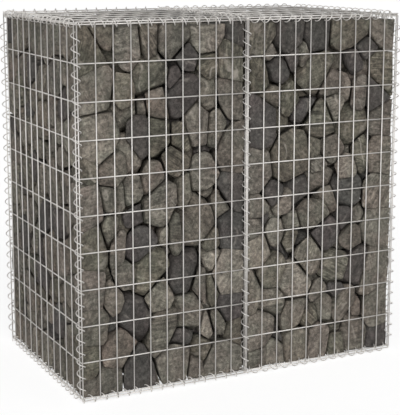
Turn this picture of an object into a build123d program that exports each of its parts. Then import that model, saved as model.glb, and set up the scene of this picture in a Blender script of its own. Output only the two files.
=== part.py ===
"""Free-standing gabion wall: a welded-mesh basket in two bays, laced along every
edge with helical binders and filled with broken stone.

The part frame has +X along the wall, +Y from front to back and +Z up, with the
origin on the ground under the middle of the wall. Sizes are in millimetres.
"""
from build123d import *
import math
import os

# Mesh basket. Lengths of mesh are between wire centres.
bay_length = 500.0
wall_depth = 600.0
wall_height = 1000.0
cell_width = 50.0
cell_height = 100.0
mesh_wire = 3.5
panel_gap = 4.0          # between the edge wires of panels side by side
end_panel_offset = 1.5   # outer wires of an end panel, beyond the end of its bay
face_panel_offset = 2.0  # outer wires of the front and back, beyond the depth
edge_setback = 12.0      # edge wires of an end panel, inside the front and back

# Helical binders, bent from straight facets
binder_wire = 3.0
binder_diameter = 25.0   # over the outside of the wire
turns_per_cell = 3       # turns in one cell height
facets_per_turn = 6
section_sides = 3
axis_inset = 5.0         # axis of a level binder, inside the outer wires
axis_rise = 2.5          # and above or below the last wires of the wall

# Stone fill
fill_clearance = 0.3

bays = {"left": -1, "right": 0}
wall_length = len(bays) * bay_length
panel_length = bay_length - panel_gap
front_y = wall_depth / 2 + face_panel_offset
end_x = wall_length / 2 + end_panel_offset
first_y = edge_setback - front_y
end_panel_length = 2 * abs(first_y)
binder_reach = binder_diameter / 2
binder_pitch = cell_height / turns_per_cell

# The lowest binders stand on the ground.
wall_bottom = binder_reach + axis_rise
wall_top = wall_bottom + wall_height


def wire_places(length, cell):
    """Wires one cell apart from the first edge, and a last one on the far edge."""
    inner_count = math.ceil((length - 2 * mesh_wire) / cell)
    return [i * cell for i in range(inner_count)] + [length]


def bar(start, end):
    """Wire with a square section between two points, half its width longer each way."""
    size = [abs(e - s) + mesh_wire for s, e in zip(start, end)]
    centre = [(s + e) / 2 for s, e in zip(start, end)]
    return Pos(*centre) * Box(*size)


def mesh_panel(length, height):
    """Panel in XZ with its first corner at the origin. Its columns lie in Y=0, and
    its rows lie behind them, welded on at each crossing."""
    columns = [bar((x, 0, 0), (x, 0, height)) for x in wire_places(length, cell_width)]
    rows = [
        bar((0, mesh_wire, z), (length, mesh_wire, z))
        for z in wire_places(height, cell_height)
    ]
    return Part() + columns + rows


def binder(length):
    """Right-hand and left-hand binder along +Z from the origin, starting on +X. The
    wire is mitred at its corners, and its outside there is at the binder's reach."""
    facet_turn = 2 * math.pi / facets_per_turn
    facet_rise = binder_pitch / facets_per_turn
    facet_run = 2 * (binder_reach - binder_wire / 2) * math.sin(facet_turn / 2)
    half_bend = math.asin(math.sin(facet_turn / 2) * math.cos(math.atan2(facet_rise, facet_run)))
    radius = binder_reach - binder_wire / 2 / math.cos(half_bend)
    pair = {}
    for hand in (1, -1):
        corners = [
            Vector(
                radius * math.cos(facet_turn * i),
                hand * radius * math.sin(facet_turn * i),
                facet_rise * i,
            )
            for i in range(math.floor(length / facet_rise) + 1)
        ]
        section = Plane(origin=corners[0], z_dir=corners[1] - corners[0])
        section *= RegularPolygon(binder_wire / 2, section_sides)
        pair[hand] = sweep(section, path=Polyline(*corners), transition=Transition.RIGHT)
    return pair


def lace(pair, hand, first_wire, axis, outward, away, phase, start_gap):
    """Put a binder on an edge. Its angles turn from outward to away. The strand is at
    the phase angle at the first wire, and one corner in each turn points away, so
    that a binder under the wall stands on its corners."""
    sense = hand * outward.cross(away).dot(axis)
    facet_angle = 360 / facets_per_turn
    first_turn = sense * (90 - phase) % facet_angle
    gap_turn = 360 * start_gap / binder_pitch
    first_turn += facet_angle * math.ceil((gap_turn - first_turn) / facet_angle)
    angle = math.radians(phase + sense * first_turn)
    seat = Plane(
        origin=first_wire + axis * (binder_pitch * first_turn / 360),
        x_dir=outward * math.cos(angle) + away * math.sin(angle),
        z_dir=axis,
    )
    return seat.location * pair[hand]


def stone_block(x_low, x_high):
    """Stone of one bay as one mass, its edges cut back to clear the binders."""
    size = (x_high - x_low, 2 * fill_y, 2 * fill_rise + wall_height)
    block = Pos((x_low + x_high) / 2, 0, (wall_bottom + wall_top) / 2) * Box(*size)
    return chamfer(block.edges(), fill_cut)


x_axis, y_axis, z_axis = Vector(1, 0, 0), Vector(0, 1, 0), Vector(0, 0, 1)
sides = {"front": -1, "back": 1}
ends = {"left": -1, "right": 1}
levels = {"top": (1, wall_top), "bottom": (-1, wall_bottom)}
parts = {}

# Mesh panels. The back and the left end are the same panels turned over.
wall_panel = mesh_panel(panel_length, wall_height)
end_panel = Rot(0, 0, 90) * mesh_panel(end_panel_length, wall_height)
turned_end_panel = Rot(0, 180, 0) * end_panel
lid_panel = mesh_panel(panel_length, wall_depth)

for bay_name, bay in bays.items():
    first_x = bay * bay_length + panel_gap / 2
    lid_seat = Pos(first_x, wall_depth / 2, wall_top + mesh_wire)
    base_seat = Pos(first_x, -wall_depth / 2, wall_bottom - mesh_wire)
    parts[f"front_panel_{bay_name}"] = Pos(first_x, -front_y, wall_bottom) * wall_panel
    parts[f"back_panel_{bay_name}"] = (
        Pos(first_x, front_y, wall_top) * Rot(180, 0, 0) * wall_panel
    )
    parts[f"lid_panel_{bay_name}"] = lid_seat * Rot(90, 0, 0) * lid_panel
    parts[f"base_panel_{bay_name}"] = base_seat * Rot(-90, 0, 0) * lid_panel

parts["end_panel_left"] = Pos(-end_x, first_y, wall_top) * turned_end_panel
parts["end_panel_right"] = Pos(end_x, first_y, wall_bottom) * end_panel
parts["divider_panel"] = Pos(0, first_y, wall_top) * turned_end_panel

# Upright binders at the corners and where the bays meet. The strand is outside the
# edge where it passes a row of wires.
corner_x = (wall_length / 2 - panel_gap / 2 + end_x) / 2
upright_y = front_y - edge_setback / 2
crossing_gap = binder_pitch / 2
upright_pair = binder(wall_height - 2 * crossing_gap)
for side_name, side in sides.items():
    for place_name, place in {"left": -1, "middle": 0, "right": 1}.items():
        parts[f"spiral_{side_name}_{place_name}"] = lace(
            upright_pair,
            hand=-1,
            first_wire=Vector(place * corner_x, side * upright_y, wall_bottom),
            axis=z_axis,
            outward=y_axis * side,
            away=x_axis * (place or 1),
            phase=45 if place else 0,
            start_gap=crossing_gap,
        )

# Level binders along the top and the bottom
bay_pair = binder(panel_length - crossing_gap / 2)
cross_pair = binder(end_panel_length - 2 * crossing_gap)
for level_name, (level, wall_end) in levels.items():
    axis_z = wall_end + level * axis_rise
    for side_name, side in sides.items():
        axis_y = side * (front_y - axis_inset)
        for bay_name, bay in bays.items():
            first_x = bay * bay_length + panel_gap / 2
            parts[f"spiral_{level_name}_{side_name}_{bay_name}"] = lace(
                bay_pair,
                hand=side if bay_name == "right" else -side,
                first_wire=Vector(first_x, axis_y, axis_z),
                axis=x_axis,
                outward=y_axis * side,
                away=z_axis * level,
                phase=45,
                start_gap=0,
            )
    for end_name, end in ends.items():
        parts[f"spiral_{level_name}_end_{end_name}"] = lace(
            cross_pair,
            hand=-1,
            first_wire=Vector(end * (end_x - axis_inset), first_y, axis_z),
            axis=y_axis,
            outward=x_axis * end,
            away=z_axis * level,
            phase=135 - 90 * level * end,
            start_gap=crossing_gap,
        )
    parts[f"spiral_{level_name}_middle"] = lace(
        cross_pair,
        hand=-1,
        first_wire=Vector(0, first_y, axis_z),
        axis=y_axis,
        outward=-x_axis,
        away=z_axis * level,
        phase=90 + 55 * level,
        start_gap=crossing_gap,
    )

# Stone fill, against the inner wires all round. The edges are cut back equally, as
# far as the binder that reaches in most needs.
fill_x = end_x - 1.5 * mesh_wire - fill_clearance
fill_y = front_y - 1.5 * mesh_wire - fill_clearance
fill_rise = mesh_wire / 2 - fill_clearance
divider_gap = mesh_wire / 2 + fill_clearance
level_reach = axis_inset + fill_y - front_y - axis_rise + fill_rise
corner_reach = fill_x - corner_x + fill_y - upright_y
middle_reach = fill_y - upright_y - divider_gap
fill_cut = max(level_reach, corner_reach, middle_reach)
fill_cut += (binder_reach + fill_clearance) * math.sqrt(2)
parts["stone_fill_left"] = stone_block(-fill_x, -divider_gap)
parts["stone_fill_right"] = stone_block(divider_gap + mesh_wire, fill_x)

os.makedirs("parts", exist_ok=True)
for name, solid in parts.items():
    export_step(solid, f"parts/{name}.step")
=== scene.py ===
"""Looks of the gabion wall: round wires, round binders and the broken stone.

It is laid out as a Blender add-on and is run as a script. Each operator models one
group of pieces from the sizes in its property group, in metres, in the frame of the
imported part: +X along the wall, +Y from front to back, +Z up.
"""

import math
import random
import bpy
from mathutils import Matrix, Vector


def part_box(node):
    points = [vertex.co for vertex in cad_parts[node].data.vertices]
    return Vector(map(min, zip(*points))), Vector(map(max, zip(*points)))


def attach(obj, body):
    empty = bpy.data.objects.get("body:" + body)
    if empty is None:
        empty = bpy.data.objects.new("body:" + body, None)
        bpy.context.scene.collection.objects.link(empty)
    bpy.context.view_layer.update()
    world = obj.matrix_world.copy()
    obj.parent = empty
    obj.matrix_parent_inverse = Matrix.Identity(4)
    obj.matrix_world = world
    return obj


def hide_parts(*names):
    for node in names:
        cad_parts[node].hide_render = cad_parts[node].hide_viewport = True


bl_info = {
    "name": "Gabion wall",
    "version": (1, 0, 0),
    "blender": (4, 5, 0),
    "location": "3D View > Sidebar > Gabion",
    "description": "Models the wires, binders, stones and stage of a gabion wall",
    "category": "Add Mesh",
}

import bmesh
import bpy
from bpy.props import (
    FloatProperty,
    FloatVectorProperty,
    IntProperty,
    PointerProperty,
)
from mathutils import Matrix, Vector, noise

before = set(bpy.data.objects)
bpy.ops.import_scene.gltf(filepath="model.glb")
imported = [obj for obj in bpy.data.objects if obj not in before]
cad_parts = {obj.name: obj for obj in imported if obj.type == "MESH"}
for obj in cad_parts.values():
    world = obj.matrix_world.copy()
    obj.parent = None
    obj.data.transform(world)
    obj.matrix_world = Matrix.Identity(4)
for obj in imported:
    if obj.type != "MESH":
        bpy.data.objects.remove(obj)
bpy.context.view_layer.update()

AXES = (Vector((1, 0, 0)), Vector((0, 1, 0)), Vector((0, 0, 1)))
X, Y, Z = range(3)

# Each panel of mesh: the axis that its columns run along, the axis that its rows run
# along, and the side of its thickness that the columns lie on.
PANELS = {
    "front_panel_left": (Z, X, -1),
    "front_panel_right": (Z, X, -1),
    "back_panel_left": (Z, X, 1),
    "back_panel_right": (Z, X, 1),
    "end_panel_left": (Z, Y, -1),
    "end_panel_right": (Z, Y, 1),
    "divider_panel": (Z, Y, -1),
    "lid_panel_left": (Y, X, -1),
    "lid_panel_right": (Y, X, -1),
    "base_panel_left": (Y, X, 1),
    "base_panel_right": (Y, X, 1),
}

# Each binder: the axis that it runs along, the panel whose first wire its turns are
# counted from, its hand, the directions called outward and away, and the angle from
# outward to away of its strand at that wire.
UPRIGHTS = {
    f"spiral_{side_name}_{place_name}": (
        Z,
        "front_panel_left",
        -1,
        AXES[Y] * side,
        AXES[X] * (place or 1),
        45 if place else 0,
    )
    for side_name, side in (("front", -1), ("back", 1))
    for place_name, place in (("left", -1), ("middle", 0), ("right", 1))
}
LEVELS = {}
for level_name, level in (("top", 1), ("bottom", -1)):
    for side_name, side in (("front", -1), ("back", 1)):
        for bay_name, bay_hand in (("left", -side), ("right", side)):
            LEVELS[f"spiral_{level_name}_{side_name}_{bay_name}"] = (
                X,
                f"front_panel_{bay_name}",
                bay_hand,
                AXES[Y] * side,
                AXES[Z] * level,
                45,
            )
    for end_name, end in (("left", -1), ("right", 1)):
        LEVELS[f"spiral_{level_name}_end_{end_name}"] = (
            Y,
            "end_panel_left",
            -1,
            AXES[X] * end,
            AXES[Z] * level,
            135 - 90 * level * end,
        )
    LEVELS[f"spiral_{level_name}_middle"] = (
        Y,
        "end_panel_left",
        -1,
        -AXES[X],
        AXES[Z] * level,
        90 + 55 * level,
    )


# Sizes and colours


class GABION_PG_mesh(bpy.types.PropertyGroup):
    cell_width: FloatProperty(
        name="Cell width", description="Between the columns of the mesh",
        default=0.05, unit="LENGTH",
    )
    cell_height: FloatProperty(
        name="Cell height", description="Between the rows of the mesh",
        default=0.1, unit="LENGTH",
    )
    wire: FloatProperty(
        name="Wire", description="Diameter of the mesh wire",
        default=0.0035, unit="LENGTH", precision=4,
    )
    weld_sink: FloatProperty(
        name="Weld sink", description="How far crossing wires are pressed into each other",
        default=0.0004, unit="LENGTH", precision=4,
    )
    sides: IntProperty(
        name="Sides", description="Sides of a wire's section", default=8, min=6,
    )
    colour: FloatVectorProperty(
        name="Zinc", description="Colour of the galvanised wire", subtype="COLOR",
        default=(0.82, 0.79, 0.755), size=3,
    )


class GABION_PG_binder(bpy.types.PropertyGroup):
    diameter: FloatProperty(
        name="Diameter", description="Over the outside of the turns",
        default=0.025, unit="LENGTH",
    )
    wire: FloatProperty(
        name="Wire", description="Diameter of the binder's wire",
        default=0.003, unit="LENGTH", precision=4,
    )
    pitch: FloatProperty(
        name="Pitch", description="Length of one turn along the binder",
        default=0.1 / 3, unit="LENGTH", precision=4,
    )
    steps: IntProperty(
        name="Steps", description="Steps of one turn", default=16, min=8,
    )
    sides: IntProperty(
        name="Sides", description="Sides of the wire's section", default=8, min=6,
    )


class GABION_PG_stone(bpy.types.PropertyGroup):
    seed: IntProperty(
        name="Seed", description="Start of the random draws", default=3,
    )
    largest: FloatProperty(
        name="Largest", description="Reach of the largest stones from their middle",
        default=0.054, unit="LENGTH",
    )
    smallest: FloatProperty(
        name="Smallest", description="Reach of the smallest stones from their middle",
        default=0.020, unit="LENGTH",
    )
    stretch: FloatProperty(
        name="Stretch", description="Height of a stone against its width",
        default=1.15,
    )
    longest: FloatProperty(
        name="Longest", description="Length of the longest stones against a round one",
        default=1.5,
    )
    closeness: FloatProperty(
        name="Closeness", description="Distance of two stones against their reaches",
        default=0.86,
    )
    edge_tries: IntProperty(
        name="Edge tries", description="Tries to lay stones along the basket's edges",
        default=1600,
    )
    gap: FloatProperty(
        name="Gap", description="Space between neighbouring stones",
        default=0.0035, unit="LENGTH", precision=4,
    )
    edge_gap: FloatProperty(
        name="Edge gap", description="The same at an edge of the basket",
        default=-0.002, unit="LENGTH", precision=4,
    )
    wear: FloatProperty(
        name="Wear", description="How far the wear of an edge runs into a face",
        default=0.008, unit="LENGTH", precision=4,
    )
    unevenness: FloatProperty(
        name="Unevenness", description="Height of the bumps on a stone",
        default=0.0022, unit="LENGTH", precision=4,
    )
    facet: FloatProperty(
        name="Facet", description="Longest edge between the points of a stone's surface",
        default=0.018, unit="LENGTH", precision=4,
    )
    grey: FloatVectorProperty(
        name="Grey", description="Most of the stones", subtype="COLOR",
        default=(0.145, 0.133, 0.115), size=3,
    )
    pale: FloatVectorProperty(
        name="Pale", description="The lightest stones", subtype="COLOR",
        default=(0.196, 0.180, 0.156), size=3,
    )
    slate: FloatVectorProperty(
        name="Slate", description="The darkest stones", subtype="COLOR",
        default=(0.076, 0.070, 0.067), size=3,
    )
    olive: FloatVectorProperty(
        name="Olive", description="Greenish stones", subtype="COLOR",
        default=(0.124, 0.115, 0.094), size=3,
    )
    brown: FloatVectorProperty(
        name="Brown", description="Warm stones", subtype="COLOR",
        default=(0.158, 0.139, 0.118), size=3,
    )


class GABION_PG_stage(bpy.types.PropertyGroup):
    daylight: FloatProperty(
        name="Daylight", description="Strength of the light from all round",
        default=0.9,
    )
    lamp: FloatProperty(
        name="Lamp", description="Strength of the soft lamp",
        default=1.55,
    )
    ceiling: FloatProperty(
        name="Ceiling", description="Brightness overhead against that all round",
        default=0.1,
    )
    floor_size: FloatProperty(
        name="Floor size", description="Width of the floor", default=400, unit="LENGTH",
    )
    lens: FloatProperty(
        name="Lens", description="Focal length of the camera in millimetres",
        default=102.73,
    )


# Shared modelling

LEAST_CELL = 0.1  # width of the last cell, against the others, below which it is left out


def wire_places(low, high, cell):
    """Wires one cell apart from the first edge, and a last one on the far edge."""
    count = math.ceil((high - low) / cell - LEAST_CELL)
    return [low + i * cell for i in range(count)] + [high]


def add_bar(bm, start, end, diameter, sides):
    """Straight round wire with a cut face at both ends."""
    run = end - start
    turn = run.to_track_quat("Z", "Y").to_matrix().to_4x4()
    made = bmesh.ops.create_cone(
        bm, cap_ends=True, segments=sides, radius1=diameter / 2, radius2=diameter / 2,
        depth=run.length, matrix=Matrix.Translation((start + end) / 2) @ turn,
    )
    for face in {f for v in made["verts"] for f in v.link_faces}:
        face.smooth = len(face.verts) == 4


def keep_piece(bm, name, node, material):
    """Make an object of the shape, which stands for a node of the part."""
    bmesh.ops.recalc_face_normals(bm, faces=bm.faces)
    mesh = bpy.data.meshes.new(name)
    bm.to_mesh(mesh)
    bm.free()
    mesh.materials.append(material)
    piece = bpy.data.objects.new(name, mesh)
    bpy.context.scene.collection.objects.link(piece)
    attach(piece, "root")
    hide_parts(node)
    return piece


# Materials


def new_material(name):
    material = bpy.data.materials.new(name)
    material.use_nodes = True
    material.node_tree.nodes.clear()
    return material, material.node_tree


def add_node(tree, kind, **values):
    """Add a shader node, with settings by attribute and inputs by socket name."""
    node = tree.nodes.new(kind)
    for key, value in values.items():
        if hasattr(node, key):
            setattr(node, key, value)
        else:
            node.inputs[key.replace("_", " ")].default_value = value
    return node


def ramp(tree, factor, stops):
    """Colour ramp over the factor, with stops of place and grey value."""
    node = tree.nodes.new("ShaderNodeValToRGB")
    elements = node.color_ramp.elements
    while len(elements) < len(stops):
        elements.new(0.5)
    for element, (place, grey) in zip(elements, stops):
        element.position = place
        element.color = (grey, grey, grey, 1)
    tree.links.new(factor, node.inputs["Fac"])
    return node.outputs["Color"]


def noise_value(tree, vector, scale, detail, roughness=0.55, distortion=0.0):
    node = add_node(
        tree, "ShaderNodeTexNoise", Scale=scale, Detail=detail, Roughness=roughness,
        Distortion=distortion,
    )
    tree.links.new(vector, node.inputs["Vector"])
    return node.outputs["Fac"]


def mapped(tree, vector, scale, turn=(0, 0, 0)):
    node = add_node(tree, "ShaderNodeMapping")
    node.inputs["Scale"].default_value = scale
    node.inputs["Rotation"].default_value = turn
    tree.links.new(vector, node.inputs["Vector"])
    return node.outputs["Vector"]


def mixed(tree, blend, factor, first, second):
    """Mix two colours. A factor or colour may be a socket or a plain value."""
    node = tree.nodes.new("ShaderNodeMix")
    node.data_type = "RGBA"
    node.blend_type = blend
    sockets = (node.inputs[0], node.inputs[6], node.inputs[7])
    for socket, value in zip(sockets, (factor, first, second)):
        if hasattr(value, "is_output"):
            tree.links.new(value, socket)
        elif isinstance(value, (int, float)):
            socket.default_value = value
        else:
            socket.default_value = (*value, 1)
    return node.outputs[2]


def math_value(tree, operation, first, second):
    node = tree.nodes.new("ShaderNodeMath")
    node.operation = operation
    for socket, value in zip(node.inputs, (first, second)):
        if hasattr(value, "is_output"):
            tree.links.new(value, socket)
        else:
            socket.default_value = value
    return node.outputs[0]


def bumped(tree, height, distance, strength, under=None):
    node = add_node(tree, "ShaderNodeBump", Strength=strength, Distance=distance)
    tree.links.new(height, node.inputs["Height"])
    if under:
        tree.links.new(under, node.inputs["Normal"])
    return node.outputs["Normal"]


def zinc_material(name, colour):
    """Dull hot-dip zinc, with a faint spangle and small runs."""
    material, tree = new_material(name)
    place = add_node(tree, "ShaderNodeTexCoord").outputs["Object"]
    spangle = add_node(tree, "ShaderNodeTexVoronoi", Scale=260.0)
    tree.links.new(place, spangle.inputs["Vector"])
    cloud = noise_value(tree, place, 45.0, 3.0)
    tone = mixed(
        tree, "MULTIPLY", 1.0, tuple(colour),
        ramp(tree, cloud, ((0.3, 0.86), (0.7, 1.0))),
    )
    tone = mixed(
        tree, "MULTIPLY", 0.12, tone,
        ramp(tree, spangle.outputs["Distance"], ((0.0, 0.6), (0.6, 1.0))),
    )
    shader = add_node(tree, "ShaderNodeBsdfPrincipled", Metallic=0.5)
    tree.links.new(tone, shader.inputs["Base Color"])
    tree.links.new(
        ramp(tree, cloud, ((0.3, 0.38), (0.7, 0.52))), shader.inputs["Roughness"]
    )
    runs = noise_value(tree, place, 900.0, 2.0)
    tree.links.new(bumped(tree, runs, 0.0002, 0.25), shader.inputs["Normal"])
    output = add_node(tree, "ShaderNodeOutputMaterial")
    tree.links.new(shader.outputs["BSDF"], output.inputs["Surface"])
    return material


def stone_material(name):
    """Broken stone. Its colour and the kind of grain come with each stone, and the
    pattern lies in each stone's own coordinates."""
    material, tree = new_material(name)
    place = add_node(tree, "ShaderNodeAttribute", attribute_name="stone_place")
    place = place.outputs["Vector"]
    tone = add_node(tree, "ShaderNodeAttribute", attribute_name="stone_tone")
    layered = tone.outputs["Alpha"]

    cloud = noise_value(tree, place, 14.0, 4.0, 0.6, 0.6)
    mottle = noise_value(tree, place, 95.0, 5.0, 0.72, 0.3)
    grain = noise_value(tree, place, 420.0, 3.0, 0.7)
    layers = noise_value(
        tree, mapped(tree, place, (12.0, 16.0, 150.0)), 1.0, 4.0, 0.6, 0.8
    )

    colour = mixed(
        tree, "MULTIPLY", 1.0, tone.outputs["Color"],
        ramp(tree, cloud, ((0.3, 0.72), (0.5, 1.0), (0.7, 1.25))),
    )
    colour = mixed(
        tree, "MULTIPLY", 1.0, colour,
        ramp(tree, mottle, ((0.3, 0.35), (0.5, 1.0), (0.7, 1.9))),
    )
    colour = mixed(
        tree, "MULTIPLY", layered, colour,
        ramp(tree, layers, ((0.32, 0.4), (0.5, 1.0), (0.68, 1.7))),
    )
    colour = mixed(
        tree, "MULTIPLY", 1.0, colour,
        ramp(tree, grain, ((0.3, 0.72), (0.7, 1.28))),
    )

    # A stone drifts between a warm and a greenish tint
    drift = noise_value(tree, place, 11.0, 2.0, 0.5, 0.4)
    tint = mixed(
        tree, "MIX", ramp(tree, drift, ((0.38, 0.0), (0.62, 1.0))),
        (1.05, 0.985, 0.95), (0.975, 1.0, 0.95),
    )
    colour = mixed(tree, "MULTIPLY", 1.0, colour, tint)

    # Pale veins on the layered stones
    wave = add_node(
        tree, "ShaderNodeTexWave", Scale=7.0, Distortion=9.0, Detail=3.0,
        Detail_Scale=1.2,
    )
    turned = mapped(tree, place, (1.0, 1.0, 1.0), (0.4, 0.7, 0.2))
    tree.links.new(turned, wave.inputs["Vector"])
    vein = ramp(tree, wave.outputs["Fac"], ((0.93, 0.0), (0.99, 1.0)))
    patch = ramp(tree, cloud, ((0.48, 0.0), (0.6, 0.7)))
    vein = math_value(tree, "MULTIPLY", vein, patch)
    vein = math_value(tree, "MULTIPLY", vein, layered)
    colour = mixed(tree, "MIX", vein, colour, (0.42, 0.38, 0.33))

    shader = add_node(tree, "ShaderNodeBsdfPrincipled", Roughness=0.88)
    shader.inputs["Specular IOR Level"].default_value = 0.35
    tree.links.new(colour, shader.inputs["Base Color"])
    normal = bumped(tree, mottle, 0.006, 0.55)
    ridges = math_value(tree, "MULTIPLY", layers, layered)
    normal = bumped(tree, ridges, 0.004, 0.7, normal)
    normal = bumped(tree, grain, 0.0012, 0.5, normal)
    tree.links.new(normal, shader.inputs["Normal"])
    output = add_node(tree, "ShaderNodeOutputMaterial")
    tree.links.new(shader.outputs["BSDF"], output.inputs["Surface"])
    return material


# Welded mesh

WELD_BEAD = 1.15  # radius of a weld, against the wire's


class GABION_OT_mesh(bpy.types.Operator):
    """Model the panels of welded mesh, with their columns and rows as round wires"""

    bl_idname = "gabion.mesh"
    bl_label = "Welded mesh"

    def execute(self, context):
        sizes = context.scene.gabion_mesh
        zinc = zinc_material("Zinc_mesh", sizes.colour)
        for node, (run, across, side) in PANELS.items():
            keep_piece(
                self.sheet(sizes, node, run, across, side),
                "Mesh_" + node.replace("_panel", ""), node, zinc,
            )
        return {"FINISHED"}

    def sheet(self, sizes, node, run, across, side):
        half = sizes.wire / 2
        low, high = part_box(node)
        thin = 3 - run - across
        layers = [low[thin] + half, high[thin] - half]
        if side > 0:
            layers.reverse()
        layers[1] += side * sizes.weld_sink
        columns = wire_places(low[across] + half, high[across] - half, sizes.cell_width)
        rows = wire_places(low[run] + half, high[run] - half, sizes.cell_height)
        bm = bmesh.new()
        for length_axis, step_axis, places, layer in (
            (run, across, columns, layers[0]),
            (across, run, rows, layers[1]),
        ):
            for place in places:
                start, end = Vector(low), Vector(high)
                for point in (start, end):
                    point[step_axis] = place
                    point[thin] = layer
                add_bar(bm, start, end, sizes.wire, sizes.sides)
        for column in columns:
            for row in rows:
                point = Vector()
                point[across], point[run] = column, row
                point[thin] = sum(layers) / 2
                self.weld(bm, point, half)
        return bm

    def weld(self, bm, point, half):
        """Small round bead of the weld between two crossing wires."""
        made = bmesh.ops.create_icosphere(
            bm, subdivisions=1, radius=half * WELD_BEAD, matrix=Matrix.Translation(point)
        )
        for face in {f for v in made["verts"] for f in v.link_faces}:
            face.smooth = True


# Helical binders


def coil(sizes, node, axis, first_panel, hand, outward, away, phase):
    """Round binder of a node. It runs from end to end of the node's box, with the
    strand where the part has it."""
    low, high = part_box(node)
    half = sizes.wire / 2
    radius = sizes.diameter / 2 - half
    start, end = low[axis] + half, high[axis] - half
    first_low, first_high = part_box(first_panel)
    mesh_half = bpy.context.scene.gabion_mesh.wire / 2
    along = AXES[axis]
    sense = hand * outward.cross(away).dot(along)
    turns_before = (start - first_low[axis] - mesh_half) / sizes.pitch
    angle = math.radians(phase + sense * 360 * turns_before)
    spoke = outward * math.cos(angle) + away * math.sin(angle)
    middle = (low + high) / 2
    middle[axis] = start
    tangent = hand * along.cross(spoke) * 2 * math.pi * radius + along * sizes.pitch
    turns = (end - start) / sizes.pitch
    steps = round(turns * sizes.steps)

    bm = bmesh.new()
    section = bmesh.ops.create_circle(
        bm, segments=sizes.sides, radius=half,
        matrix=Matrix.Translation(middle + spoke * radius)
        @ tangent.to_track_quat("Z", "Y").to_matrix().to_4x4(),
    )
    bmesh.ops.spin(
        bm, geom=section["verts"] + list(bm.edges), cent=middle, axis=along,
        dvec=along * ((end - start) / steps), angle=hand * 2 * math.pi * turns,
        steps=steps, use_duplicate=False,
    )
    for face in bm.faces:
        face.smooth = True
    bmesh.ops.holes_fill(bm, edges=[e for e in bm.edges if e.is_boundary], sides=0)
    return bm


def keep_coils(scene, lacings):
    """Model the binders of a list, all of the same zinc."""
    zinc = bpy.data.materials.get("Zinc_binder")
    if zinc is None:
        zinc = zinc_material("Zinc_binder", scene.gabion_mesh.colour)
    for node, lacing in lacings.items():
        bm = coil(scene.gabion_binder, node, *lacing)
        keep_piece(bm, node.replace("spiral", "Binder"), node, zinc)


class GABION_OT_uprights(bpy.types.Operator):
    """Model the upright binders at the corners and where the bays meet"""

    bl_idname = "gabion.uprights"
    bl_label = "Upright binders"

    def execute(self, context):
        keep_coils(context.scene, UPRIGHTS)
        return {"FINISHED"}


class GABION_OT_levels(bpy.types.Operator):
    """Model the binders along the edges of the lid and the base"""

    bl_idname = "gabion.levels"
    bl_label = "Level binders"

    def execute(self, context):
        keep_coils(context.scene, LEVELS)
        return {"FINISHED"}


# Broken stone

# Share of the stones, and strength of their layers, by the name of their colour
KINDS = {
    "grey": (38, 0.5),
    "pale": (19, 0.6),
    "slate": (20, 0.25),
    "olive": (13, 1.0),
    "brown": (10, 0.35),
}
LAYER_DRAW = (0.4, 1.6)
SHADE_DRAW = (0.86, 1.14)
TINT_DRAW = (0.985, 1.015)
PATTERN_SHIFT = 9  # metres at most, each way, that the pattern of a stone is moved

# Stones along the edges of the basket: the reach of the first against the largest, what
# the last one loses of it, and the draw on it. Their middles lie this many of their own
# reaches inside the two sides at the edge, and inside its ends.
EDGE_REACH = 1.1
EDGE_REACH_LOSS = 0.6
EDGE_REACH_DRAW = (0.8, 1)
EDGE_INSET_DRAW = (0.3, 0.8)
EDGE_END_INSET = 0.6

# All other stones: the steps from the largest to the smallest, the tries at the first
# step and what each later one adds, and how many of their own reaches they lie inside
SIZE_STEPS = 7
FIRST_TRIES = 170
MORE_TRIES = 420
INSET = 0.62

# Times the largest reach: the width of the block that a stone is cut from and how far
# away another one still cuts it, and then how near an upright edge, or any edge, of the
# basket two stones meet closely
NEIGHBOURHOOD = 5
UPRIGHT_EDGE = 0.7
ANY_EDGE = 0.4

# How loosely a stone lies against the basket, in metres and as a slope
SIDE_SPACE = 0.003
LID_SPACE = 0.012
DIVIDER_SPACE_DRAW = (0.002, 0.007)
LEAN = 0.04
BASE_SLACK = 0.25  # of the space and the lean, on the base

# Corners that are knocked off: how far they stand out against a typical one, how far in
# metres they lie from an edge of the basket, and the lean and depth of the break
STANDS_OUT = 1.12
KNOCK_ROOM = 0.025
KNOCK_LEAN = 0.2
KNOCK_DRAW = (0.06, 0.15)

# Wear of a stone: the draw on it, and the distance below which points are merged,
# against the wear. A face is inset by this share of its room at most.
WEAR_DRAW = (0.6, 1.3)
WEAR_MERGE = 0.8
WEAR_INSET = 0.7
LEAST_ANGLE = 0.1  # radians between two edges of a face, for the room in it

# How far a corner moves towards the worn faces round it, as a share, and the same within
# this many metres of an edge of the basket
WORN = 0.55
WORN_AT_EDGE = 0.25
WEAR_EDGE = 0.01

# Bumps in a metre, fine ones in a metre, the height of those, and how far all are sunk
BUMPS = 28
FINE_BUMPS = 70
FINE_HEIGHT = 0.5
BUMP_SINK = 0.3


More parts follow.
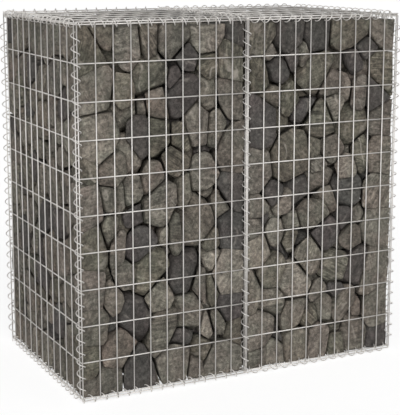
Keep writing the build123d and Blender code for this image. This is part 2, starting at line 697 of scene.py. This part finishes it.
class GABION_OT_stones(bpy.types.Operator):
    """Fill each bay with broken stone, packed as closely as stones of mixed sizes are"""

    bl_idname = "gabion.stones"
    bl_label = "Stones"

    def execute(self, context):
        sizes = context.scene.gabion_stone
        material = stone_material("Broken_stone")
        for index, (bay, divider_side) in enumerate((("left", 1), ("right", -1))):
            node = "stone_fill_" + bay
            low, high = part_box(node)
            draw = random.Random(sizes.seed + index)
            middles, forms = self.scatter(sizes, draw, low, high)
            pile = bmesh.new()
            for number in range(len(middles)):
                self.add_stone(
                    sizes, draw, pile, middles, forms, number, low, high, divider_side
                )
            keep_piece(pile, "Stones_" + bay, node, material)
        return {"FINISHED"}

    def scatter(self, sizes, draw, low, high):
        """Middles and forms of the stones of a bay. Those along the edges of the basket
        are laid first, and then all sizes inside it, the largest first each time. The
        places are worked out in a space that is squashed by the stretch of the stones."""
        squash = Vector((1, 1, 1 / sizes.stretch))
        low, high = low * squash, high * squash
        middles, forms = [], []
        for number in range(sizes.edge_tries):
            share = EDGE_REACH - EDGE_REACH_LOSS * number / sizes.edge_tries
            reach = sizes.largest * share * draw.uniform(*EDGE_REACH_DRAW)
            inset = reach * EDGE_END_INSET
            place = Vector(draw.uniform(a + inset, b - inset) for a, b in zip(low, high))
            along = draw.randrange(3)
            for axis in range(3):
                if axis != along:
                    inset = reach * draw.uniform(*EDGE_INSET_DRAW)
                    place[axis] = draw.choice((low[axis] + inset, high[axis] - inset))
            self.lay(sizes, draw, middles, forms, place, reach)
        for step in range(SIZE_STEPS):
            loss = (sizes.smallest - sizes.largest) * step / (SIZE_STEPS - 1)
            reach = sizes.largest + loss
            inset = reach * INSET
            for _ in range(FIRST_TRIES + MORE_TRIES * step):
                place = Vector(draw.uniform(a + inset, b - inset) for a, b in zip(low, high))
                self.lay(sizes, draw, middles, forms, place, reach)
        return middles, forms

    def lay(self, sizes, draw, middles, forms, place, reach):
        """Lay a stone at a place if it is free there. Its form is the matrix of an
        ellipsoid, longer one way and flatter another."""
        long = draw.uniform(1, sizes.longest)
        flat = draw.uniform(1 / sizes.longest, 1)
        side = 1 / math.sqrt(long * flat)
        turn = Matrix.Rotation(
            draw.uniform(0, math.pi), 3, Vector(draw.gauss(0, 1) for _ in range(3))
        )
        scales = Matrix.Diagonal([(reach * s) ** -2 for s in (side * flat, side, side * long)])
        form = turn @ scales @ turn.transposed()
        for other, other_form in zip(middles, forms):
            way = place - other
            distance = way.length
            if distance < (reach + sizes.largest) * sizes.longest:
                room = self.reach_towards(form, way) + self.reach_towards(other_form, way)
                if distance < room * sizes.closeness:
                    return
        middles.append(place)
        forms.append(form)

    def reach_towards(self, form, way):
        return way.length / math.sqrt(way.dot(form @ way))

    def add_stone(
        self, sizes, draw, pile, middles, forms, number, low, high, divider_side
    ):
        """Cut a stone out of a block by a plane towards each neighbour and each side of
        the basket, and add it to the pile. Its surface is worked where it shows."""
        middle = middles[number]
        bm = bmesh.new()
        bmesh.ops.create_cube(
            bm, size=sizes.largest * NEIGHBOURHOOD, matrix=Matrix.Translation(middle)
        )
        self.part_from_others(sizes, bm, middles, forms, number, low, high)
        bmesh.ops.scale(bm, vec=(1, 1, sizes.stretch), verts=bm.verts)
        middle = Vector((middle.x, middle.y, middle.z * sizes.stretch))
        seen = self.fit_in_basket(draw, bm, middle, low, high, divider_side)
        self.knock_off(draw, bm, middle, low, high)
        if seen:
            self.wear_edges(sizes, draw, bm, low, high)
            self.roughen(sizes, bm, low, high)
        self.colour(sizes, draw, bm, middle)
        mesh = bpy.data.meshes.new("Stone")
        bm.to_mesh(mesh)
        bm.free()
        pile.from_mesh(mesh)
        bpy.data.meshes.remove(mesh)

    def cut(self, bm, point, way):
        """Cut off what lies beyond a plane, and close the stone there."""
        made = bmesh.ops.bisect_plane(
            bm, geom=bm.verts[:] + bm.edges[:] + bm.faces[:],
            plane_co=point, plane_no=way, clear_outer=True,
        )
        edges = [e for e in made["geom_cut"] if isinstance(e, bmesh.types.BMEdge)]
        bmesh.ops.edgeloop_fill(bm, edges=edges)

    def cut_nearest_first(self, bm, middle, planes):
        """Cut by planes of distance and direction, and tell whether one of them cut."""
        cut_any = False
        for gap, way in sorted(planes, key=lambda plane: plane[0]):
            if gap < max((v.co - middle).dot(way) for v in bm.verts):
                self.cut(bm, middle + way * gap, way)
                cut_any = True
        return cut_any

    def part_from_others(self, sizes, bm, middles, forms, number, low, high):
        """Cut by a plane between the stone and each neighbour, which touches both of
        their forms grown equally, and leave a gap there. Stones that meet at an edge of
        the basket lie close, so that no light shows through it."""
        middle, form = middles[number], forms[number]
        stretch = Vector((1, 1, sizes.stretch))
        planes = []
        for other, other_form in zip(middles, forms):
            way = other - middle
            if 0 < way.length < NEIGHBOURHOOD * sizes.largest:
                own, others = (self.reach_towards(f, way) for f in (form, other_form))
                share = own / (own + others)
                facing = (form @ way * share + other_form @ way * (1 - share)).normalized()
                meeting = (middle + way * share) * stretch
                at_edge = (
                    self.rooms(meeting.xy, low.xy, high.xy)[1] < UPRIGHT_EDGE * sizes.largest
                    or self.rooms(meeting, low, high)[1] < ANY_EDGE * sizes.largest
                )
                gap = sizes.edge_gap if at_edge else sizes.gap
                planes.append((share * way.dot(facing) - gap / 2, facing))
        self.cut_nearest_first(bm, middle, planes)

    def rooms(self, point, low, high):
        """Distances of a point from the nearest sides of the basket, in order."""
        return sorted(min(c - a, b - c) for c, a, b in zip(point, low, high))

    def fit_in_basket(self, draw, bm, middle, low, high, divider_side):
        """Keep a stone inside the mesh and off the divider. It lies a little askew
        against the sides, flat on the base and loose under the lid. True where it lies
        against a side that shows."""
        sides = []
        for axis in range(3):
            for sign, edge in ((-1, low), (1, high)):
                way = AXES[axis] * sign
                room = sign * (edge[axis] - middle[axis])
                slack = BASE_SLACK if axis == Z and sign < 0 else 1
                inset = slack * draw.uniform(0, SIDE_SPACE)
                if axis == Z and sign > 0:
                    inset = draw.uniform(0, LID_SPACE)
                lean = slack * Vector(draw.uniform(-LEAN, LEAN) for _ in range(3))
                if axis == X and sign == divider_side:
                    room -= draw.uniform(*DIVIDER_SPACE_DRAW)
                    self.cut_nearest_first(bm, middle, [(room, way)])
                else:
                    sides += [(room, way), (room - inset, (way + lean).normalized())]
        return self.cut_nearest_first(bm, middle, sides)

    def knock_off(self, draw, bm, middle, low, high):
        """Break the corners that stand out furthest, but none at an edge of the basket."""
        points = [v.co.copy() for v in bm.verts]
        points.sort(key=lambda co: (co - middle).length)
        typical = (points[len(points) // 2] - middle).length
        for point in points[len(points) // 2 :]:
            arm = point - middle
            room = self.rooms(point, low, high)[1]
            if arm.length > STANDS_OUT * typical and room > KNOCK_ROOM:
                lean = Vector(draw.uniform(-KNOCK_LEAN, KNOCK_LEAN) for _ in range(3))
                way = (arm.normalized() + lean).normalized()
                self.cut(bm, point - way * arm.length * draw.uniform(*KNOCK_DRAW), way)

    def wear_edges(self, sizes, draw, bm, low, high):
        """Wear the edges and corners of a cut stone, and leave its faces flat. It wears
        little at the edges of the basket, where it fills the corner."""
        wear = sizes.wear * draw.uniform(*WEAR_DRAW)
        bmesh.ops.remove_doubles(bm, verts=bm.verts, dist=wear * WEAR_MERGE)
        corners = set(bm.verts)
        for face in bm.faces[:]:
            inset = min(wear, WEAR_INSET * self.inset_room(face))
            bmesh.ops.inset_individual(
                bm, faces=[face], thickness=inset, use_even_offset=True
            )
        for corner in corners:
            rim = [e.other_vert(corner) for e in corner.link_edges]
            rim = [v.co for v in rim if v not in corners]
            if rim:
                free = self.rooms(corner.co, low, high)[1] > WEAR_EDGE
                worn = WORN if free else WORN_AT_EDGE
                corner.co = corner.co.lerp(sum(rim, Vector()) / len(rim), worn)

    def inset_room(self, face):
        """How far a face can be inset before the first of its edges vanishes."""
        rooms = []
        for loop in face.loops:
            ends = (loop, loop.link_loop_next)
            angles = (max(LEAST_ANGLE, end.calc_angle()) for end in ends)
            closing = sum(1 / math.tan(angle / 2) for angle in angles)
            rooms.append(loop.edge.calc_length() / closing)
        return min(rooms)

    def roughen(self, sizes, bm, low, high):
        """Make the faces of a stone uneven."""
        flats = [f for f in bm.faces if len(f.verts) > 4 or f.calc_area() > sizes.facet**2]
        bmesh.ops.poke(bm, faces=flats, center_mode="MEAN")
        bmesh.ops.subdivide_edges(
            bm, edges=[e for e in bm.edges if e.calc_length() > sizes.facet], cuts=1,
            use_grid_fill=True,
        )
        bm.normal_update()
        for vert in bm.verts:
            fine = noise.noise(vert.co * FINE_BUMPS)
            bump = noise.noise(vert.co * BUMPS) + FINE_HEIGHT * fine
            vert.co += vert.normal * (bump - BUMP_SINK) * sizes.unevenness
            vert.co = [min(max(c, a), b) for c, a, b in zip(vert.co, low, high)]
        for face in bm.faces:
            face.smooth = True

    def colour(self, sizes, draw, bm, middle):
        """Give a stone its own colour, strength of layers and place in the pattern."""
        shares = [share for share, _ in KINDS.values()]
        kind = draw.choices(list(KINDS), weights=shares)[0]
        layers = KINDS[kind][1]
        shade = draw.uniform(*SHADE_DRAW)
        tone = [c * shade * draw.uniform(*TINT_DRAW) for c in getattr(sizes, kind)]
        tone.append(min(1, layers * draw.uniform(*LAYER_DRAW)))
        about_x = Matrix.Rotation(draw.uniform(0, 2 * math.pi), 3, "X")
        about_z = Matrix.Rotation(draw.uniform(0, 2 * math.pi), 3, "Z")
        turn = about_x @ about_z
        furthest = PATTERN_SHIFT
        shift = Vector(draw.uniform(-furthest, furthest) for _ in range(3))
        tone_layer = bm.verts.layers.float_color.new("stone_tone")
        place_layer = bm.verts.layers.float_vector.new("stone_place")
        for vert in bm.verts:
            vert[tone_layer] = tone
            vert[place_layer] = turn @ (vert.co - middle) + shift


# Stage

# The floor's grey and glow where it is seen, and its grey where it lights the object
FLOOR_SEEN = 0.55
FLOOR_GLOW = 0.72
FLOOR_LIT = 0.8

# Heights on the sky, from 0 at the horizon to 1 overhead, between which it darkens
SKY_STOPS = (0.3, 0.75)
LAMP_SPREAD = 50
LAMP_TURN = (65, 0, -22)

SENSOR_WIDTH = 36
CAMERA_SHIFT = -0.1
CAMERA_PLACE = (-1.5816, -3.1349, 1.19)
CAMERA_TURN = (90 - 10.12, 0, -26.86)


class GABION_OT_stage(bpy.types.Operator):
    """Set the floor, the light and the camera"""

    bl_idname = "gabion.stage"
    bl_label = "Stage"

    def execute(self, context):
        stage = context.scene.gabion_stage
        self.floor(stage)
        self.light(stage, context.scene)
        self.camera(stage, context.scene)
        context.scene.view_settings.view_transform = "Standard"
        return {"FINISHED"}

    def seen_directly(self, tree):
        """1 for a ray from the camera or by way of a mirror or glass, and 0 otherwise."""
        path = add_node(tree, "ShaderNodeLightPath")
        seen = math_value(
            tree, "ADD", path.outputs["Is Camera Ray"], path.outputs["Is Glossy Ray"]
        )
        seen = math_value(tree, "ADD", seen, path.outputs["Is Transmission Ray"])
        return math_value(tree, "MINIMUM", seen, 1.0)

    def floor(self, stage):
        material, tree = new_material("Floor")
        paint = add_node(tree, "ShaderNodeBsdfDiffuse", Color=(*[FLOOR_SEEN] * 3, 1))
        glow = add_node(tree, "ShaderNodeEmission", Strength=FLOOR_GLOW)
        both = add_node(tree, "ShaderNodeAddShader")
        tree.links.new(paint.outputs[0], both.inputs[0])
        tree.links.new(glow.outputs[0], both.inputs[1])
        plain = add_node(tree, "ShaderNodeBsdfDiffuse", Color=(*[FLOOR_LIT] * 3, 1))
        pick = add_node(tree, "ShaderNodeMixShader")
        tree.links.new(self.seen_directly(tree), pick.inputs[0])
        tree.links.new(plain.outputs[0], pick.inputs[1])
        tree.links.new(both.outputs[0], pick.inputs[2])
        output = add_node(tree, "ShaderNodeOutputMaterial")
        tree.links.new(pick.outputs[0], output.inputs["Surface"])
        bm = bmesh.new()
        bmesh.ops.create_grid(bm, x_segments=1, y_segments=1, size=stage.floor_size / 2)
        mesh = bpy.data.meshes.new("Floor")
        bm.to_mesh(mesh)
        bm.free()
        mesh.materials.append(material)
        floor = bpy.data.objects.new("Floor", mesh)
        bpy.context.scene.collection.objects.link(floor)

    def light(self, stage, scene):
        world = bpy.data.worlds.new("Studio")
        world.use_nodes = True
        tree = world.node_tree
        tree.nodes.clear()
        backdrop = add_node(tree, "ShaderNodeBackground", Strength=1.0)
        daylight = add_node(tree, "ShaderNodeBackground", Strength=stage.daylight)
        way = add_node(tree, "ShaderNodeSeparateXYZ")
        sky = add_node(tree, "ShaderNodeTexCoord").outputs["Generated"]
        tree.links.new(sky, way.inputs[0])
        shades = zip(SKY_STOPS, (1.0, stage.ceiling))
        ceiling = ramp(tree, way.outputs["Z"], tuple(shades))
        for shade in (backdrop, daylight):
            tree.links.new(ceiling, shade.inputs["Color"])
        pick = add_node(tree, "ShaderNodeMixShader")
        tree.links.new(self.seen_directly(tree), pick.inputs[0])
        tree.links.new(daylight.outputs[0], pick.inputs[1])
        tree.links.new(backdrop.outputs[0], pick.inputs[2])
        output = add_node(tree, "ShaderNodeOutputWorld")
        tree.links.new(pick.outputs[0], output.inputs["Surface"])
        scene.world = world
        lamp = bpy.data.lights.new("Soft_lamp", "SUN")
        lamp.energy = stage.lamp
        lamp.angle = math.radians(LAMP_SPREAD)
        holder = bpy.data.objects.new("Soft_lamp", lamp)
        holder.rotation_euler = [math.radians(angle) for angle in LAMP_TURN]
        scene.collection.objects.link(holder)

    def camera(self, stage, scene):
        camera = bpy.data.cameras.new("Camera")
        camera.lens = stage.lens
        camera.sensor_width = SENSOR_WIDTH
        camera.shift_y = CAMERA_SHIFT
        holder = bpy.data.objects.new("Camera", camera)
        holder.location = CAMERA_PLACE
        holder.rotation_euler = [math.radians(angle) for angle in CAMERA_TURN]
        scene.collection.objects.link(holder)
        scene.camera = holder


class GABION_PT_panel(bpy.types.Panel):
    """Lists the pieces of the gabion wall and their sizes"""

    bl_label = "Gabion wall"
    bl_idname = "GABION_PT_panel"
    bl_space_type = "VIEW_3D"
    bl_region_type = "UI"
    bl_category = "Gabion"

    def draw(self, context):
        for owner, operators in GROUPS.items():
            box = self.layout.box()
            group = getattr(context.scene, owner)
            for name in group.bl_rna.properties.keys():
                if name not in ("rna_type", "name"):
                    box.prop(group, name)
            for operator in operators:
                box.operator(operator)


GROUPS = {
    "gabion_mesh": ("gabion.mesh",),
    "gabion_binder": ("gabion.uprights", "gabion.levels"),
    "gabion_stone": ("gabion.stones",),
    "gabion_stage": ("gabion.stage",),
}
CLASSES = (
    GABION_PG_mesh,
    GABION_PG_binder,
    GABION_PG_stone,
    GABION_PG_stage,
    GABION_OT_mesh,
    GABION_OT_uprights,
    GABION_OT_levels,
    GABION_OT_stones,
    GABION_OT_stage,
    GABION_PT_panel,
)


def register():
    for cls in CLASSES:
        bpy.utils.register_class(cls)
    bpy.types.Scene.gabion_mesh = PointerProperty(type=GABION_PG_mesh)
    bpy.types.Scene.gabion_binder = PointerProperty(type=GABION_PG_binder)
    bpy.types.Scene.gabion_stone = PointerProperty(type=GABION_PG_stone)
    bpy.types.Scene.gabion_stage = PointerProperty(type=GABION_PG_stage)


def unregister():
    for name in GROUPS:
        delattr(bpy.types.Scene, name)
    for cls in reversed(CLASSES):
        bpy.utils.unregister_class(cls)


def main():
    register()
    bpy.ops.gabion.mesh()
    bpy.ops.gabion.uprights()
    bpy.ops.gabion.levels()
    bpy.ops.gabion.stones()
    bpy.ops.gabion.stage()


if __name__ == "__main__":
    main()
